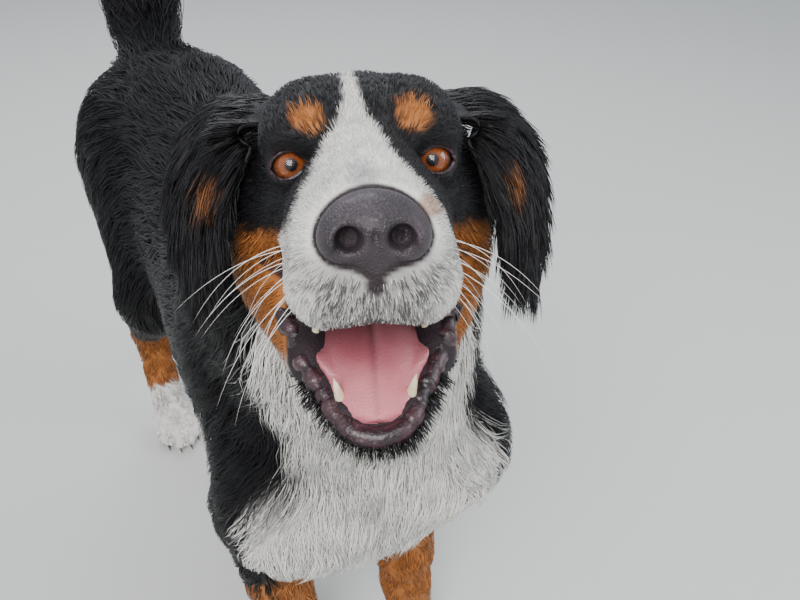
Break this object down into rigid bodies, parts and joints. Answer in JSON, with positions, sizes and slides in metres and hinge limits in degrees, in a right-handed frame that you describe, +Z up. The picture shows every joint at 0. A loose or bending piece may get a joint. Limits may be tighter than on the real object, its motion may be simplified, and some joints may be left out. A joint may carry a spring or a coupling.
{
  "type": "bernese mountain dog model",
  "caption": "Standing Bernese mountain dog, life size, head turned and raised with an open mouth, tail carried up.",
  "frame": {"origin": "on the floor, under the middle of the whole body", "axes": "+Z up, the dog stands facing -Y, +X towards its left side"},
  "size_m": [0.3086, 1.0522, 0.9617],
  "materials": {
    "black_coat": "long wavy black hair with a soft sheen",
    "white_coat": "soft cream-white hair",
    "rust_coat": "rust-brown hair",
    "nose_leather": "moist, finely pebbled dark nose leather",
    "tongue": "moist pink tongue with a middle groove",
    "eye": "wet amber-brown eye with a dark pupil"
  },
  "bodies": {
    "root": {"left_eye": "eye", "right_eye": "eye", "nose": "nose_leather", "head": "black_coat", "tongue": "tongue", "lower_jaw": "rust_coat", "left_ear": "black_coat", "right_ear": "black_coat", "neck": "black_coat", "chest": "black_coat", "rump": "black_coat", "tail_base": "black_coat", "tail_end": "white_coat", "left_fore_leg": "rust_coat", "left_fore_paw": "white_coat", "left_thigh": "black_coat", "left_hind_leg": "rust_coat", "left_hind_paw": "white_coat", "right_fore_leg": "rust_coat", "right_fore_paw": "white_coat", "right_thigh": "black_coat", "right_hind_leg": "rust_coat", "right_hind_paw": "white_coat"}
  },
  "joints": []
}
